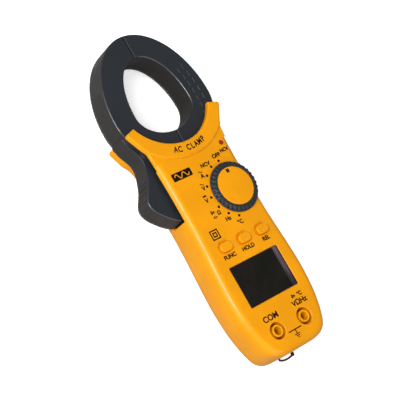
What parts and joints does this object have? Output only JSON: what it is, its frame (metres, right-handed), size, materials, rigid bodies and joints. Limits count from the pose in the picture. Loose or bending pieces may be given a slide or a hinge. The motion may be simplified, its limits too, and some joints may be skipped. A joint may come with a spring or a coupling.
{
  "type": "clamp meter",
  "caption": "Hand-held clamp meter: yellow two-shell body, black split jaws opened by a side trigger, rotary selector, three keys, display window and two input sockets.",
  "frame": {"origin": "on the flat back, on the centre line, level with the two input sockets", "axes": "+Y towards the jaws, +X to the right seen from the front, +Z out of the front panel"},
  "size_m": [0.0678, 0.1891, 0.031],
  "materials": {
    "body_yellow": "satin moulded plastic",
    "jaw_black": "fine-textured moulded plastic",
    "dial_grey": "satin moulded plastic with ridges",
    "steel": "plated",
    "brass": "turned",
    "core_iron": "ground end faces",
    "copper_winding": "enamelled copper winding",
    "board_green": "solder-masked laminate",
    "component_black": "moulded component body",
    "white_plastic": "natural moulded plastic",
    "lens_dark": "polished dark window",
    "display_glass": "liquid crystal glass",
    "strip_grey": "conductive rubber strip",
    "lamp_red": "tinted epoxy",
    "thermistor_blue": "dipped coating",
    "cell_wrap": "plain printed sleeve",
    "cord_black": "braided cord"
  },
  "bodies": {
    "case": {"front_case": "body_yellow", "rear_case": "body_yellow", "case_screw_1": "steel", "case_screw_2": "steel", "case_screw_3": "steel", "case_screw_4": "steel", "case_screw_5": "steel", "battery_1": "cell_wrap", "battery_2": "cell_wrap", "battery_bridge_contact": "steel", "battery_minus_contact": "steel", "battery_plus_contact": "steel", "fixed_jaw_housing": "jaw_black", "fixed_jaw_back_cover": "jaw_black", "jaw_screw_1": "steel", "jaw_screw_2": "steel", "fixed_core": "core_iron", "fixed_coil": "copper_winding", "jaw_pivot_pin": "steel", "jaw_return_spring": "steel", "display_lens": "lens_dark", "display_glass": "display_glass", "display_frame": "component_black", "connector_strip_1": "strip_grey", "connector_strip_2": "strip_grey", "key_switch_1": "component_black", "key_switch_2": "component_black", "key_switch_3": "component_black", "main_board": "board_green", "board_screw_1": "steel", "board_screw_2": "steel", "board_screw_3": "steel", "board_screw_4": "steel", "measuring_chip": "component_black", "buzzer": "component_black", "thermistor": "thermistor_blue", "detector_lamp": "lamp_red", "input_socket_common": "brass", "input_socket_signal": "brass"},
    "moving_jaw": {"moving_jaw_housing": "jaw_black", "moving_jaw_back_cover": "jaw_black", "moving_core": "core_iron", "moving_coil": "copper_winding"},
    "selector": {"selector_dial_ring": "dial_grey", "selector_dial_cap": "body_yellow", "selector_rotor": "white_plastic", "detent_ball_1": "steel", "detent_ball_2": "steel", "detent_spring_1": "steel", "detent_spring_2": "steel", "rotor_wiper_1": "brass", "rotor_wiper_2": "brass", "rotor_wiper_3": "brass"},
    "function_key": {"key_function": "body_yellow"},
    "hold_key": {"key_hold": "body_yellow"},
    "relative_key": {"key_relative": "body_yellow"},
    "battery_door": {"battery_cover": "body_yellow", "battery_cover_screw": "steel"},
    "strap": {"strap_cord": "cord_black"}
  },
  "joints": [
    {"name": "jaw_open", "type": "hinge", "parent": "case", "child": "moving_jaw", "pos_m": [-0.015, 0.103, 0.0103], "axis": [0, 0, 1], "range_deg": [0, 27], "stiffness_Nm_per_rad": 0.4, "deforming": ["jaw_return_spring"]},
    {"name": "selector_turn", "type": "hinge", "parent": "case", "child": "selector", "pos_m": [0.0116, 0.0756, 0.028], "axis": [0, 0, 1], "range_deg": [0, 157.5]},
    {"name": "function_press", "type": "slide", "parent": "case", "child": "function_key", "axis": [0, 0, -1], "range_m": [0, 0.0008], "stiffness_N_per_m": 1500},
    {"name": "hold_press", "type": "slide", "parent": "case", "child": "hold_key", "axis": [0, 0, -1], "range_m": [0, 0.0008], "stiffness_N_per_m": 1500},
    {"name": "relative_press", "type": "slide", "parent": "case", "child": "relative_key", "axis": [0, 0, -1], "range_m": [0, 0.0008], "stiffness_N_per_m": 1500},
    {"name": "battery_door_lift", "type": "slide", "parent": "case", "child": "battery_door", "axis": [0, 0, -1], "range_m": [0, 0.02]},
    {"name": "strap_swing", "type": "hinge", "parent": "case", "child": "strap", "pos_m": [0.003, -0.0109, 0.005], "axis": [1, 0, 0], "range_deg": [-30, 75]}
  ]
}
